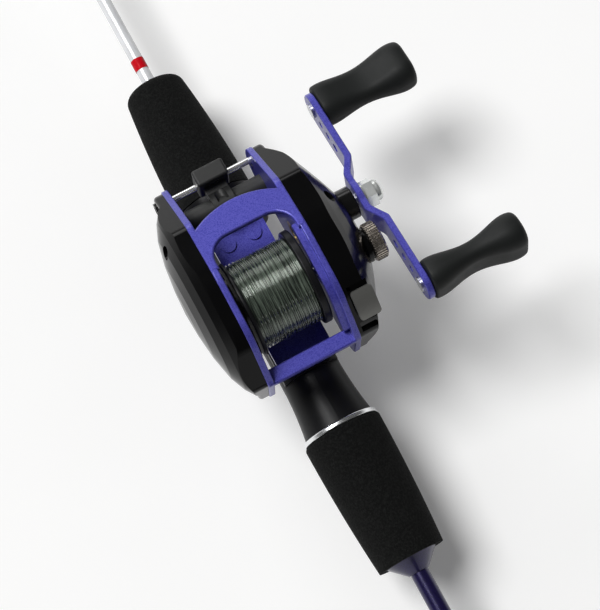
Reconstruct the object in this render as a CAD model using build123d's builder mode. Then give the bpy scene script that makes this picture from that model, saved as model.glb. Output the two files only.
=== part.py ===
from build123d import *
import os
from math import atan2, copysign, cos, degrees, hypot, pi, radians, sin, sqrt

# A short bait-casting rod with its reel. Millimetres.
# The origin is the centre of the butt end, +X runs along the rod to the tip,
# +Y is the angler's left and +Z is up, where the reel sits on the rod.

os.makedirs("parts", exist_ok=True)

# Rod: stations along X, radii about the X axis
ROD_LENGTH = 1100.0
REEL_X = 240.0
BUTT_R = 12.0
BUTT_CAP_END = 10.0
BUTT_BARREL_END = 62.0
BUTT_GRIP_END = 80.0
BUTT_SHOULDER_R = 7.0
TUBE_R = 2.95
TUBE_BORE_R = 2.25
TUBE_START = 4.0
TUBE_END = 300.0
BLANK_START = 230.0
BLANK_END = ROD_LENGTH - 1.5
BLANK_TIP_R = 0.75
BAND_START = REEL_X + 94.7
BAND_LENGTH = 4.0
CONE_START = REEL_X - 92.4
REAR_GRIP_START = REEL_X - 87.5
REAR_GRIP_END = REEL_X - 42.3
TRIM_END = REEL_X - 40.8
TRIM_R = 12.8

# Reel seat and its screw hood
SEAT_R = 10.0
SEAT_FLARE_R = 11.7
SEAT_BORE_R = 6.0
SEAT_FLARE_END = REEL_X - 24.0
SADDLE_Z = 7.5
SADDLE_END = REEL_X + 43.0
THREAD_R = 7.6
THREAD_END = REEL_X + 80.0
REAR_HOOD = (REEL_X - 22.5, REEL_X - 10.5)
REAR_HOOD_R = 12.0
REAR_HOOD_HALF_Y = 9.3
FRONT_HOOD = (REEL_X + 30.0, REEL_X + 43.0)
FRONT_HOOD_R = 13.0
POCKET_HALF_Y = 6.7
POCKET_TOP = 9.75
TRIGGER_HALF_Y = 3.5
NUT_START = REEL_X + 43.4
NUT_END = REEL_X + 82.0
NUT_R = 9.4
NUT_BORE_R = 7.75
FORE_GRIP_END = REEL_X + 88.0

# Line guides: station, height of the ring over the rod axis, ring bore radius
GUIDES = [(600, 9.5, 3.4), (765, 7.6, 2.6), (895, 6.3, 2.1), (1005, 5.3, 1.8)]
TIP_GUIDE = (ROD_LENGTH - 1.0, 3.7, 1.5)
RING_WALL = 0.9
RIM_WALL = 0.7
RING_LENGTH = 1.6
GUIDE_SHEET = 1.0
GUIDE_FOOT = (14.0, 1.8, 0.6)

# Reel: X from the spool axis, Y from the rod axis, Z over the rod axis
SPOOL_Z = 31.0
PLATE_IN = 13.8
PLATE_OUT = 15.9
PLATE = PLATE_OUT - PLATE_IN
OUTLINE = [(-25, 11.5), (47, 11.5), (47, 25), (27.5, 45), (9, 50), (-12, 47.5), (-25, 31.5)]
OUTLINE_RADII = [5, 8.5, 7, 5, 20, 14, 4]
FLOOR_Z = 13.5
FLOOR = 2.0
FLOOR_HALF_Y = 9.3
CROSSBAR = (-25.0, -20.0, 28.3, 31.1)
HOOD_SLOPE = 6.7 / 25
HOOD_EDGE_R = 0.6
PLATE_EDGE_R = 0.4
RIM = 2.0
REAR_TIE = (-21.5, -18.5)
DOME_X, DOME_Z = 7.0, 30.3
FLANGE_R = 15.5
LEFT_FLANGE = (12.1, 10.8)
RIGHT_FLANGE = (-8.8, -11.3)
HUB_R = 7.5
SHAFT_R = 1.5

# Gears: one module throughout, stub teeth with play
MODULE = 0.5
DRIVE_TEETH, PINION_TEETH = 48, 12
WIND_TEETH, IDLER_TEETH, WORM_TEETH = 20, 22, 18
DRIVE_Z = 28.2
DRIVE_X = sqrt((MODULE * (DRIVE_TEETH + PINION_TEETH) / 2) ** 2 - (SPOOL_Z - DRIVE_Z) ** 2)
WORM_Z = 22.5
WORM_REACH = MODULE * (WIND_TEETH + 2 * IDLER_TEETH + WORM_TEETH) / 2
WORM_X = DRIVE_X + sqrt(WORM_REACH ** 2 - (DRIVE_Z - WORM_Z) ** 2)
IDLER_SHARE = MODULE * (WIND_TEETH + IDLER_TEETH) / 2 / WORM_REACH
IDLER_X = DRIVE_X + (WORM_X - DRIVE_X) * IDLER_SHARE
IDLER_Z = DRIVE_Z + (WORM_Z - DRIVE_Z) * IDLER_SHARE
WIND_GEAR_Y = (-16.3, -18.1)
DRIVE_GEAR_Y = (-19.0, -21.4)
PINION_Y = (-17.2, -22.9)
DRIVE_SHAFT_R = 2.5

# Level wind
BAR_X, BAR_Z, BAR_R = 43.6, 22.0, 1.04
WORM_R = 2.4
TUBE_WIND_R, TUBE_WIND_BORE = 3.5, 2.65
CARRIAGE_HALF_Y = 5.25

# Wound line: the outer layer only, over a plain core
LINE_R = 0.3
LINE_TURNS = 17
LINE_PITCH = 1.02
LINE_END_BEND = 0.7
CORE_R = 13.6

# Crank handle, turned as it lies in the rest position
HANDLE_TILT = 12.5
ARM_INNER_Y, ARM_OUTER_Y, ARM_STEP = -35.6, -37.8, 3.3
ARM_REACH = 35.2
ARM_HALF_WIDTH = 5.4
ARM_EDGE = 0.3

# Cover screws, three a side: X, Z, the Y that the head sits on, the Y where its pillar starts
SCREWS = [(24.5, 39.0, 17.4, PLATE_OUT), (42.8, 19.6, 17.4, PLATE_OUT), (-18.0, 19.0, 17.4, PLATE_OUT),
          (16.0, 42.2, -22.4, -22.1), (42.8, 19.6, -17.4, -PLATE_OUT), (-18.0, 19.0, -17.4, -PLATE_OUT)]
SCREW_HEAD_R, SCREW_HEAD = 1.9, 1.3
SCREW_SHANK_R = 1.0

# Clutch lever
LEVER_X, LEVER_Z = -7.0, 27.5
LEVER_PAD = (16.9, 18.1, 112.0, 145.0)
LEVER_STEM_DEG = 128.0


def save(piece, name):
    """Label a finished piece and write its file."""
    piece.part.label = name
    export_step(piece.part, f"parts/{name}.step")


def side(y):
    """Side-view plane at a given Y: local x from the spool axis, local y up, normal to the right."""
    return Plane(origin=(REEL_X, y, 0), x_dir=(1, 0, 0), z_dir=(0, -1, 0))


def arm_side(y):
    """Side-view plane on the drive shaft, turned with the crank handle."""
    tilt = radians(HANDLE_TILT)
    return Plane((REEL_X + DRIVE_X, y, DRIVE_Z), x_dir=(cos(tilt), 0, -sin(tilt)), z_dir=(0, -1, 0))


def x_cylinder(start, end, radius, mode=Mode.ADD):
    with Locations(Location(((start + end) / 2, 0, 0), (0, 90, 0))):
        Cylinder(radius, end - start, mode=mode)


def y_cylinder(x, z, left, right, radius, mode=Mode.ADD):
    with Locations(Location((REEL_X + x, (left + right) / 2, z), (90, 0, 0))):
        Cylinder(radius, abs(left - right), mode=mode)


def reel_box(x_range, y_range, z_range, mode=Mode.ADD):
    """A box given by its ranges, X from the spool axis."""
    sizes = [high - low for low, high in (x_range, y_range, z_range)]
    middle = [(low + high) / 2 for low, high in (x_range, y_range, z_range)]
    with Locations((REEL_X + middle[0], middle[1], middle[2])):
        Box(*sizes, mode=mode)


def blank_radius(x):
    """Radius of the tapered blank at a station."""
    share = max(0.0, (x - TUBE_END) / (BLANK_END - TUBE_END))
    return TUBE_BORE_R + (BLANK_TIP_R - TUBE_BORE_R) * share


def reel_outline(y, inset=0.0):
    """Side outline shared by the frame plates and the covers."""
    with BuildSketch(side(y), mode=Mode.PRIVATE) as outline:
        with BuildLine():
            FilletPolyline(*OUTLINE, radius=OUTLINE_RADII, close=True)
        make_face()
        if inset:
            offset(amount=-inset)
    return outline.sketch


def dome(crown, base, flat):
    """Oval dome: a half profile of (reach along X, Y) turned about Y and flattened in Z."""
    with BuildPart(mode=Mode.PRIVATE) as shape:
        with BuildSketch(Plane.XY):
            with BuildLine():
                Polyline(*crown, (crown[-1][0], base), (0, base), close=True)
            make_face()
        revolve(axis=Axis.Y)
        scale(by=(1, 1, flat))
    return shape.part.moved(Location((REEL_X + DOME_X, 0, DOME_Z)))


def screw_seat(x, z, seat_y, pillar_y):
    """Pillar, recess and clearance hole of a cover screw."""
    out = copysign(1, seat_y)
    y_cylinder(x, z, pillar_y, seat_y + out * 2.2, 3.0)
    y_cylinder(x, z, seat_y, out * 35, SCREW_HEAD_R + 0.2, Mode.SUBTRACT)
    y_cylinder(x, z, out * PLATE_OUT, out * 35, SCREW_SHANK_R, Mode.SUBTRACT)


def half_turns(radius, pitch, turns, centre_y):
    """Start, middle and end of each half turn about the spool, each a half circle square to its ends."""
    rise = hypot(radius, pitch / 4)
    left = centre_y + turns * pitch / 2
    ends = [Vector(REEL_X + radius * (-1) ** half, left - pitch * half / 2, SPOOL_Z)
            for half in range(2 * turns + 1)]
    middles = [Vector(REEL_X, left - pitch * (half + 0.5) / 2, SPOOL_Z + rise * (-1) ** half)
               for half in range(2 * turns)]
    return list(zip(ends, middles, ends[1:]))


def gear(x, z, y_range, teeth, tooth_deg, bore):
    """Spur gear with stub teeth, one tooth pointing along tooth_deg in the side view."""
    pitch_r = MODULE * teeth / 2
    root_r = pitch_r - 1.0 * MODULE
    tip_r = pitch_r + 0.7 * MODULE
    step = pi * MODULE
    tooth = [(root_r - 0.2, 0.27 * step), (tip_r, 0.10 * step),
             (tip_r, -0.10 * step), (root_r - 0.2, -0.27 * step)]
    with BuildSketch(side(y_range[0]), mode=Mode.PRIVATE) as profile:
        with Locations((x, z)):
            Circle(root_r)
            with PolarLocations(0, teeth, start_angle=tooth_deg):
                Polygon(*tooth, align=None)
            Circle(bore, mode=Mode.SUBTRACT)
    extrude(profile.sketch, amount=y_range[0] - y_range[1])


def sector(y, inner, outer, start_deg, end_deg):
    """Ring sector about the clutch lever's pivot in the side view."""
    with BuildSketch(side(y), mode=Mode.PRIVATE) as shape:
        with BuildLine():
            far = CenterArc((LEVER_X, LEVER_Z), outer, start_deg, end_deg - start_deg)
            near = CenterArc((LEVER_X, LEVER_Z), inner, start_deg, end_deg - start_deg)
            Line(far @ 0, near @ 0)
            Line(far @ 1, near @ 1)
        make_face()
    return shape.sketch


# Handle of the rod, from the butt forwards

with BuildPart() as butt_cap:
    x_cylinder(0, BUTT_CAP_END, BUTT_R)
    fillet(butt_cap.edges().filter_by(GeomType.CIRCLE).group_by(Axis.X)[0], 3.0)
    x_cylinder(TUBE_START, BUTT_CAP_END, TUBE_R, Mode.SUBTRACT)
save(butt_cap, "butt_cap")

with BuildPart() as butt_grip:
    with BuildSketch(Plane.XZ):
        with BuildLine():
            Polyline((BUTT_BARREL_END, BUTT_R), (BUTT_CAP_END, BUTT_R), (BUTT_CAP_END, TUBE_R),
                     (BUTT_GRIP_END, TUBE_R), (BUTT_GRIP_END, BUTT_SHOULDER_R))
            TangentArc((BUTT_BARREL_END, BUTT_R), (BUTT_GRIP_END, BUTT_SHOULDER_R), tangent=(1, 0))
        make_face()
    revolve(axis=Axis.X)
save(butt_grip, "butt_grip")

with BuildPart() as handle_tube:
    x_cylinder(TUBE_START, TUBE_END, TUBE_R)
    x_cylinder(TUBE_START, TUBE_END, TUBE_BORE_R, Mode.SUBTRACT)
save(handle_tube, "handle_tube")

with BuildPart() as cone_check:
    with BuildSketch(Plane.XZ):
        with BuildLine():
            Polyline((CONE_START, TUBE_R), (CONE_START, 3.5), (REAR_GRIP_START, 8.5),
                     (REAR_GRIP_START, TUBE_R), close=True)
        make_face()
    revolve(axis=Axis.X)
save(cone_check, "cone_check")

with BuildPart() as rear_grip:
    with BuildSketch(Plane.XZ):
        with BuildLine():
            ThreePointArc((REAR_GRIP_START, 11.2), (REEL_X - 65, 12.6), (REAR_GRIP_END, 13.1))
            Polyline((REAR_GRIP_END, 13.1), (REAR_GRIP_END, TUBE_R), (REAR_GRIP_START, TUBE_R),
                     (REAR_GRIP_START, 11.2))
        make_face()
    revolve(axis=Axis.X)
    outer_edges = rear_grip.edges().filter_by(GeomType.CIRCLE).sort_by(SortBy.RADIUS)[-2:]
    fillet(outer_edges, 1.2)
save(rear_grip, "rear_grip")

with BuildPart() as trim_ring:
    x_cylinder(REAR_GRIP_END, TRIM_END, TRIM_R)
    fillet(trim_ring.edges().filter_by(GeomType.CIRCLE), 0.4)
    x_cylinder(REAR_GRIP_END, TRIM_END, TUBE_R, Mode.SUBTRACT)
save(trim_ring, "trim_ring")

with BuildPart() as reel_seat:
    with BuildSketch(Plane.XZ):
        with BuildLine():
            ThreePointArc((TRIM_END, SEAT_FLARE_R), (REEL_X - 34, 10.7), (SEAT_FLARE_END, SEAT_R))
            Polyline((SEAT_FLARE_END, SEAT_R), (SADDLE_END, SEAT_R), (SADDLE_END, THREAD_R),
                     (THREAD_END, THREAD_R), (THREAD_END, SEAT_BORE_R), (TRIM_END, SEAT_BORE_R),
                     (TRIM_END, SEAT_FLARE_R))
        make_face()
    revolve(axis=Axis.X)
    with BuildSketch(Plane.YZ.offset(REAR_HOOD[0])):
        Circle(REAR_HOOD_R)
        with Locations((0, SADDLE_Z)):
            Rectangle(2 * REAR_HOOD_HALF_Y, 12, mode=Mode.INTERSECT)
    extrude(amount=REAR_HOOD[1] - REAR_HOOD[0])
    with Locations((REAR_HOOD[1], 0, SADDLE_Z)):
        Box(SADDLE_END - REAR_HOOD[1], 40, 20, align=(Align.MIN, Align.CENTER, Align.MIN), mode=Mode.SUBTRACT)
    with Locations((REAR_HOOD[0] + 1.2, 0, SADDLE_Z)):
        Box(20, 2 * POCKET_HALF_Y, POCKET_TOP - SADDLE_Z,
            align=(Align.MIN, Align.CENTER, Align.MIN), mode=Mode.SUBTRACT)
    with BuildSketch(Plane.XZ):
        with BuildLine():
            Polyline((REEL_X + 8, -8), (REEL_X - 9, -8), (REEL_X - 10, -19))
            ThreePointArc((REEL_X - 10, -19), (REEL_X - 8, -23.5), (REEL_X - 4, -21.5))
            ThreePointArc((REEL_X - 4, -21.5), (REEL_X - 0.5, -13.2), (REEL_X + 8, -8))
        make_face()
    extrude(amount=TRIGGER_HALF_Y, both=True)
    x_cylinder(TRIM_END, THREAD_END, SEAT_BORE_R, Mode.SUBTRACT)
save(reel_seat, "reel_seat")

with BuildPart() as seat_arbors:
    for start, end in ((TRIM_END + 1, REEL_X - 12), (REEL_X + 12, REEL_X + 55)):
        x_cylinder(start, end, SEAT_BORE_R)
        x_cylinder(start, end, TUBE_R, Mode.SUBTRACT)
save(seat_arbors, "seat_arbors")

with BuildPart() as seat_hood:
    x_cylinder(*FRONT_HOOD, FRONT_HOOD_R)
    fillet(seat_hood.edges().filter_by(GeomType.CIRCLE).group_by(Axis.X)[0], 1.0)
    x_cylinder(*FRONT_HOOD, SEAT_R + 0.08, Mode.SUBTRACT)
    with Locations((FRONT_HOOD[0], 0, SADDLE_Z)):
        Box(10.3, 2 * POCKET_HALF_Y, POCKET_TOP - SADDLE_Z,
            align=(Align.MIN, Align.CENTER, Align.MIN), mode=Mode.SUBTRACT)
save(seat_hood, "seat_hood")

with BuildPart() as lock_nut:
    x_cylinder(NUT_START, NUT_END, NUT_R)
    x_cylinder(NUT_START, NUT_END, NUT_BORE_R, Mode.SUBTRACT)
save(lock_nut, "lock_nut")

with BuildPart() as fore_grip:
    with BuildSketch(Plane.XZ):
        with BuildLine():
            ThreePointArc((NUT_START, 13.0), (REEL_X + 66, 12.0), (FORE_GRIP_END, 9.8))
            Polyline((FORE_GRIP_END, 9.8), (FORE_GRIP_END, 2.6), (NUT_END, 2.6), (NUT_END, NUT_R),
                     (NUT_START, NUT_R), (NUT_START, 13.0))
        make_face()
    revolve(axis=Axis.X)
    front_edge = fore_grip.edges().filter_by(GeomType.CIRCLE).group_by(Axis.X)[-1].sort_by(SortBy.RADIUS)[-1]
    fillet(front_edge, 3.6)
save(fore_grip, "fore_grip")

# Blank, its band, the line guides and the tip-top

with BuildPart() as rod_blank:
    with BuildSketch(Plane.XZ):
        with BuildLine():
            Polyline((BLANK_START, 0), (BLANK_START, TUBE_BORE_R), (TUBE_END, TUBE_BORE_R),
                     (BLANK_END, BLANK_TIP_R), (BLANK_END, 0), close=True)
        make_face()
    revolve(axis=Axis.X)
save(rod_blank, "rod_blank")

with BuildPart() as red_band:
    x_cylinder(BAND_START, BAND_START + BAND_LENGTH, blank_radius(BAND_START) + 0.1)
    add(rod_blank.part, mode=Mode.SUBTRACT)
save(red_band, "red_band")

guide_frames = []
for number, (station, height, bore) in enumerate(GUIDES, start=1):
    seat = blank_radius(station)
    rim_r = bore + RING_WALL + RIM_WALL
    with BuildPart() as guide_frame:
        with BuildSketch(Plane.YZ.offset(station)):
            with Locations((0, height)):
                Circle(rim_r)
            Polygon((-GUIDE_FOOT[1] / 2, seat), (GUIDE_FOOT[1] / 2, seat),
                    (0.75 * rim_r, height - 0.5 * rim_r), (-0.75 * rim_r, height - 0.5 * rim_r), align=None)
            with Locations((0, height)):
                Circle(bore + RING_WALL, mode=Mode.SUBTRACT)
        extrude(amount=GUIDE_SHEET)
        with Locations((station + GUIDE_SHEET, 0, seat - 0.05)):
            Box(*GUIDE_FOOT, align=(Align.MAX, Align.CENTER, Align.MIN))
        add(rod_blank.part, mode=Mode.SUBTRACT)
    save(guide_frame, f"guide_frame_{number}")
    guide_frames.append(guide_frame.part)

with BuildPart() as tip_top:
    station, height, bore = TIP_GUIDE
    x_cylinder(station - 13, station, BLANK_TIP_R + 0.55)
    with BuildSketch(Plane.YZ.offset(station)):
        with Locations((0, height)):
            Circle(bore + RING_WALL + RIM_WALL)
        Polygon((-1.2, -0.6), (1.2, -0.6), (2.2, height - 1.6), (-2.2, height - 1.6), align=None)
        with Locations((0, height)):
            Circle(bore + RING_WALL, mode=Mode.SUBTRACT)
    extrude(amount=GUIDE_SHEET)
    add(rod_blank.part, mode=Mode.SUBTRACT)
save(tip_top, "tip_top")

with BuildPart() as guide_rings:
    for station, height, bore in GUIDES:
        with BuildSketch(Plane.YZ.offset(station + GUIDE_SHEET / 2)):
            with Locations((0, height)):
                Circle(bore + RING_WALL)
                Circle(bore, mode=Mode.SUBTRACT)
        extrude(amount=RING_LENGTH / 2, both=True)
save(guide_rings, "guide_rings")

with BuildPart() as tip_ring:
    station, height, bore = TIP_GUIDE
    with BuildSketch(Plane.YZ.offset(station)):
        with Locations((0, height)):
            Circle(bore + RING_WALL)
            Circle(bore, mode=Mode.SUBTRACT)
    extrude(amount=GUIDE_SHEET)
save(tip_ring, "tip_ring")

with BuildPart() as guide_wraps:
    for station, _, _ in GUIDES:
        x_cylinder(station - GUIDE_FOOT[0] + 2, station - 0.6, blank_radius(station) + 1.0)
    add(rod_blank.part, mode=Mode.SUBTRACT)
    for frame_part in guide_frames:
        add(frame_part, mode=Mode.SUBTRACT)
save(guide_wraps, "guide_wraps")

# Reel foot and frame

RIVETS = [(x, y) for x in (-6.5, 24.0) for y in (-4.5, 4.5)]
RIVET_R = 1.6

with BuildPart() as reel_foot:
    with BuildSketch(side(6.5)):
        with BuildLine():
            Polyline((-21, SADDLE_Z), (40, SADDLE_Z), (40, 8.8), (28, 9.6), (26.5, FLOOR_Z), (-9, FLOOR_Z),
                     (-10.3, 9.6), (-21, 8.8), close=True)
        make_face()
    extrude(amount=13)
    ends = reel_foot.edges().filter_by(Axis.Z).group_by(Axis.X)
    fillet(ends[0] + ends[-1], 4.0)
    for x, y in RIVETS:
        with Locations((REEL_X + x, y, 11)):
            Cylinder(RIVET_R, 8, mode=Mode.SUBTRACT)
save(reel_foot, "reel_foot")

with BuildPart() as foot_rivets:
    for x, y in RIVETS:
        with Locations((REEL_X + x, y, SADDLE_Z)):
            Cylinder(RIVET_R, FLOOR_Z + FLOOR - SADDLE_Z, align=(Align.CENTER, Align.CENTER, Align.MIN))
        with Locations((REEL_X + x, y, FLOOR_Z + FLOOR)):
            Cylinder(2.5, 0.7, align=(Align.CENTER, Align.CENTER, Align.MIN))
save(foot_rivets, "foot_rivets")

with BuildPart() as hood:
    with BuildSketch(Plane((REEL_X, 0, 30))):
        with BuildLine():
            front = ThreePointArc((23.5, PLATE_OUT), (28.6, 0), (23.5, -PLATE_OUT))
            Polyline(front @ 1, (10, -PLATE_OUT), (10, -13.2), (12, -13.2))
            ThreePointArc((12, -13.2), (16.8, -11.2), (18.8, -6.5))
            Line((18.8, -6.5), (18.8, 6.5))
            ThreePointArc((18.8, 6.5), (16.8, 11.2), (12, 13.2))
            Polyline((12, 13.2), (10, 13.2), (10, PLATE_OUT), front @ 0)
        make_face()
    extrude(amount=25)
    with BuildSketch(side(20)):
        with BuildLine():
            Polyline((7, 50.5), (32, 43.8), (32, 41.5), (7, 48.2), close=True)
        make_face()
    extrude(amount=40, mode=Mode.INTERSECT)
    hood_top = hood.faces().sort_by(Axis((0, 0, 0), (HOOD_SLOPE, 0, 1)))[-1]
    fillet(hood_top.edges(), HOOD_EDGE_R)

with BuildPart() as inner_rim:
    extrude(reel_outline(-PLATE_IN + RIM, 1.5), amount=RIM)
    extrude(reel_outline(-PLATE_IN + RIM, 4.5), amount=RIM, mode=Mode.SUBTRACT)
    reel_box((-21, 12), (-20, 20), (32, 52), Mode.INTERSECT)

with BuildPart() as crossbar:
    reel_box(CROSSBAR[:2], (-PLATE_IN - 0.5, PLATE_IN + 0.5), CROSSBAR[2:])
    fillet(crossbar.edges().filter_by(Axis.Y), HOOD_EDGE_R)

YOKE_POSTS = [(0, SPOOL_Z - 6.5), (0, SPOOL_Z + 6.5)]

with BuildPart() as reel_frame:
    for left in (PLATE_OUT, -PLATE_IN):
        extrude(reel_outline(left), amount=PLATE)
    fillet(reel_frame.edges(), PLATE_EDGE_R)
    add(hood.part)
    add(inner_rim.part)
    add(crossbar.part)
    reel_box(REAR_TIE, (-PLATE_IN, PLATE_IN), (FLOOR_Z, FLOOR_Z + 3.5))
    reel_box((REAR_TIE[0], 38), (-FLOOR_HALF_Y, FLOOR_HALF_Y), (FLOOR_Z, FLOOR_Z + FLOOR))
    reel_box((30, 38), (-PLATE_IN, PLATE_IN), (FLOOR_Z, FLOOR_Z + FLOOR))
    y_cylinder(0, SPOOL_Z, 11.7, -11.7, FLANGE_R + 0.7, Mode.SUBTRACT)
    y_cylinder(0, SPOOL_Z, PLATE_OUT, LEFT_FLANGE[1], FLANGE_R + 0.3, Mode.SUBTRACT)
    y_cylinder(0, SPOOL_Z, -PLATE_IN, -PLATE_OUT, 5.2, Mode.SUBTRACT)
    y_cylinder(DRIVE_X, DRIVE_Z, -PLATE_IN, -PLATE_OUT, 4.0, Mode.SUBTRACT)
    y_cylinder(WORM_X, WORM_Z, PLATE_OUT, -PLATE_OUT, WORM_R + 0.05, Mode.SUBTRACT)
    y_cylinder(BAR_X, BAR_Z, 15.0, -15.0, BAR_R, Mode.SUBTRACT)
    y_cylinder(LEVER_X, LEVER_Z, -PLATE_OUT, -23.1, 1.2)
    y_cylinder(IDLER_X, IDLER_Z, -PLATE_OUT, -18.4, 1.5)
    for x, z in YOKE_POSTS:
        y_cylinder(x, z, -PLATE_IN, -PLATE_OUT, 1.2, Mode.SUBTRACT)
    for x, y in RIVETS:
        with Locations((REEL_X + x, y, FLOOR_Z)):
            Cylinder(RIVET_R, 8, mode=Mode.SUBTRACT)
    for x, z, seat_y, pillar_y in SCREWS:
        out = copysign(1, seat_y)
        y_cylinder(x, z, out * PLATE_IN, out * PLATE_OUT, SCREW_SHANK_R, Mode.SUBTRACT)
save(reel_frame, "reel_frame")

# Covers, each a base plate and an oval dome over a hollow

LEFT_CROWN = [(0, 27.4), (8, 27.0), (16, 26.1), (24, 24.4), (29, 22.3), (32.5, 19.9), (35.5, 17)]
LEFT_HOLLOW = [(0, 25.1), (6, 25.0), (17, 23.6), (24, 21.6), (27.4, 19.0)]
RIGHT_CROWN = [(0, -31.2), (7, -30.9), (13, -29.9), (18, -28.0), (24.5, -25.2), (31, -22.2), (37, -18.2)]
RIGHT_HOLLOW = [(0, -29.0), (6, -28.9), (12.5, -28.0), (18.5, -25.6), (24, -22.8), (25.6, -20.8)]

with BuildPart() as left_cover:
    extrude(reel_outline(PLATE_OUT + 3.1, 0.5), amount=3.1)
    fillet(left_cover.faces().sort_by(Axis.Y)[-1].edges(), 1.2)
    add(dome(LEFT_CROWN, 16, 0.57))
    extrude(reel_outline(PLATE_OUT + 12, 0.5), amount=12, mode=Mode.INTERSECT)
    extrude(reel_outline(PLATE_OUT + 1.6, 2.3), amount=1.6, mode=Mode.SUBTRACT)
    add(dome(LEFT_HOLLOW, 16, 0.54), mode=Mode.SUBTRACT)
    y_cylinder(0, SPOOL_Z, PLATE_OUT + 1.0, 13.0, FLANGE_R + 0.1)
    y_cylinder(0, SPOOL_Z, 25.2, PLATE_OUT, 5.6)
    y_cylinder(0, SPOOL_Z, 16.4, 13.0, 4.0, Mode.SUBTRACT)
    for x, z, seat_y, pillar_y in SCREWS[:3]:
        screw_seat(x, z, seat_y, pillar_y)
save(left_cover, "left_cover")

with BuildPart() as right_cover:
    extrude(reel_outline(-PLATE_OUT, 0.5), amount=3.4)
    fillet(right_cover.faces().sort_by(Axis.Y)[0].edges(), 1.2)
    add(dome(RIGHT_CROWN, -17, 0.65))
    extrude(reel_outline(-PLATE_OUT, 0.5), amount=18, mode=Mode.INTERSECT)
    extrude(reel_outline(-PLATE_OUT, 2.3), amount=2.5, mode=Mode.SUBTRACT)
    add(dome(RIGHT_HOLLOW, -17, 0.65), mode=Mode.SUBTRACT)
    y_cylinder(0, SPOOL_Z, -27.2, -31.0, 5.6)
    y_cylinder(0, SPOOL_Z, -30.0, -31.5, 4.9)
    y_cylinder(0, SPOOL_Z, -31.0, -34.6, 4.2)
    y_cylinder(0, SPOOL_Z, -27.2, -29.6, 4.0, Mode.SUBTRACT)
    y_cylinder(0, SPOOL_Z, -27.2, -34.6, 1.8, Mode.SUBTRACT)
    y_cylinder(DRIVE_X, DRIVE_Z, -26.0, -34.0, 5.25, Mode.SUBTRACT)
    for x, z, seat_y, pillar_y in SCREWS[3:]:
        screw_seat(x, z, seat_y, pillar_y)
    extrude(sector(-17.0, LEVER_PAD[0] - 0.6, 24, 106, 164), amount=10, mode=Mode.SUBTRACT)
    extrude(sector(-21.0, 8, 17.5, 117, 153), amount=2.1, mode=Mode.SUBTRACT)
save(right_cover, "right_cover")

with BuildPart() as cover_screws:
    for x, z, seat_y, pillar_y in SCREWS:
        out = copysign(1, seat_y)
        y_cylinder(x, z, seat_y, seat_y + out * SCREW_HEAD, SCREW_HEAD_R)
        y_cylinder(x, z, seat_y, out * PLATE_IN, SCREW_SHANK_R)
        slot_y = sorted((seat_y + out * SCREW_HEAD / 2, seat_y + out * 2 * SCREW_HEAD))
        for half_x, half_z in ((1.2, 0.25), (0.25, 1.2)):
            reel_box((x - half_x, x + half_x), slot_y, (z - half_z, z + half_z), Mode.SUBTRACT)
save(cover_screws, "cover_screws")

# Spool, its shaft and the line on it

with BuildPart() as spool:
    y_cylinder(0, SPOOL_Z, 12.5, -12.5, 3.4)
    y_cylinder(0, SPOOL_Z, LEFT_FLANGE[0], RIGHT_FLANGE[1], HUB_R)
    for left, right in (LEFT_FLANGE, RIGHT_FLANGE):
        y_cylinder(0, SPOOL_Z, left, right, FLANGE_R)
    rim_edges = spool.edges().filter_by(GeomType.CIRCLE).sort_by(SortBy.RADIUS)[-4:]
    fillet(rim_edges, 0.5)
    y_cylinder(0, SPOOL_Z, 13, -13, SHAFT_R, Mode.SUBTRACT)
save(spool, "spool")

PIN_Y = -14.6

with BuildPart() as spool_pin:
    with Locations((REEL_X, PIN_Y, SPOOL_Z)):
        Cylinder(0.6, 5.2)
save(spool_pin, "spool_pin")

with BuildPart() as spool_shaft:
    y_cylinder(0, SPOOL_Z, 15.8, -33.4, SHAFT_R)
    add(spool_pin.part, mode=Mode.SUBTRACT)
save(spool_shaft, "spool_shaft")

LINE_Y = (LEFT_FLANGE[1], RIGHT_FLANGE[0])

with BuildPart() as line_core:
    y_cylinder(0, SPOOL_Z, *LINE_Y, CORE_R)
    y_cylinder(0, SPOOL_Z, *LINE_Y, HUB_R, Mode.SUBTRACT)
save(line_core, "line_core")

with BuildPart() as line_winding:
    turns = half_turns(CORE_R + LINE_R + 0.05, LINE_PITCH, LINE_TURNS, sum(LINE_Y) / 2)
    first, last = turns[0][0], turns[-1][2]
    entry = first + Vector(0, LINE_END_BEND, -LINE_END_BEND)
    leave = last + Vector(0, -LINE_END_BEND, LINE_END_BEND)
    with BuildLine() as route:
        Line((entry.X, LINE_Y[0], entry.Z), entry)
        TangentArc(entry, first, tangent=(0, -1, 0))
        for start, middle, end in turns:
            ThreePointArc(start, middle, end)
        TangentArc(last, leave, tangent=(0, 0, 1))
        Line(leave, (leave.X, LINE_Y[1], leave.Z))
    with BuildSketch(Plane(route.wire() @ 0, z_dir=route.wire() % 0)):
        Circle(LINE_R)
    sweep(path=route.wire())
save(line_winding, "line_winding")

# The winding's least gap to itself, on points along the route a fortieth of a turn apart
STEPS = 40
wound = [route.wire() @ (step / (STEPS * LINE_TURNS)) for step in range(STEPS * LINE_TURNS + 1)]
gaps = [(a - b).length for i, a in enumerate(wound) for b in wound[i + STEPS // 2:]]
print("line winding: least gap", round(min(gaps) - 2 * LINE_R, 3), "mm")

# Bearings, bushes and the one-way clutch

with BuildPart() as left_bearing:
    y_cylinder(0, SPOOL_Z, 16.4, 13.9, 4.0)
    y_cylinder(0, SPOOL_Z, 16.4, 13.9, SHAFT_R + 0.02, Mode.SUBTRACT)
save(left_bearing, "left_bearing")

with BuildPart() as right_bearing:
    y_cylinder(0, SPOOL_Z, -27.3, -29.6, 4.0)
    y_cylinder(0, SPOOL_Z, -27.3, -29.6, SHAFT_R + 0.02, Mode.SUBTRACT)
save(right_bearing, "right_bearing")

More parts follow.
